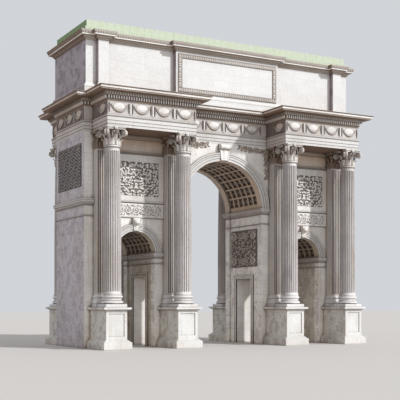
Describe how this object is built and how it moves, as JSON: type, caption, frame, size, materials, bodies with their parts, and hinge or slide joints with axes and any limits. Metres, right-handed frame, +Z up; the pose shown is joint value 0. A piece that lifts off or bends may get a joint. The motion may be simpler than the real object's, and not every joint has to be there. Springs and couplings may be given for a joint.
{
  "type": "triumphal arch",
  "caption": "Three-bay triumphal arch of pale marble with fluted columns on pedestals, coffered vaults, a garlanded frieze, a tall attic and a copper-covered top.",
  "frame": {"origin": "centre of the footprint at ground level", "axes": "+Z up; +X along the front to the right of someone facing it; +Y through the passages from the front to the rear"},
  "size_m": [25.74, 13.44, 24.28],
  "materials": {
    "marble": "honed, weathered",
    "carved_marble": "carved, soiled in the hollows",
    "green_copper": "pale green patina"
  },
  "bodies": {
    "root": {"architrave": "marble", "attic_base": "marble", "attic_cornice": "marble", "attic_wall": "marble", "bay_borders_front": "marble", "bay_borders_rear": "marble", "bay_friezes_front": "carved_marble", "bay_friezes_rear": "carved_marble", "bay_reliefs_front": "carved_marble", "bay_reliefs_rear": "carved_marble", "column_bases_front": "marble", "column_bases_rear": "marble", "column_capitals_front": "marble", "column_capitals_rear": "marble", "column_shafts_front": "marble", "column_shafts_rear": "marble", "copper_kerb": "green_copper", "copper_top": "green_copper", "cornice": "marble", "door_frames_left": "marble", "door_frames_right": "marble", "end_reliefs": "carved_marble", "frieze": "marble", "inner_pier_left": "marble", "inner_pier_right": "marble", "keystones_front": "marble", "keystones_rear": "marble", "main_archivolt_front": "marble", "main_archivolt_rear": "marble", "main_imposts_left": "marble", "main_imposts_right": "marble", "main_vault": "marble", "outer_pier_left": "marble", "outer_pier_right": "marble", "passage_reliefs": "carved_marble", "pedestals_front": "marble", "pedestals_rear": "marble", "pilaster_bases_front": "marble", "pilaster_bases_rear": "marble", "pilaster_capitals_front": "marble", "pilaster_capitals_rear": "marble", "pilaster_shafts_front": "marble", "pilaster_shafts_rear": "marble", "side_archivolts_front": "marble", "side_archivolts_rear": "marble", "side_imposts_left": "marble", "side_imposts_right": "marble", "side_vault_left": "marble", "side_vault_right": "marble", "tablet_border_front": "carved_marble", "tablet_border_rear": "carved_marble", "upper_wall_left": "marble", "upper_wall_right": "marble"}
  },
  "joints": []
}
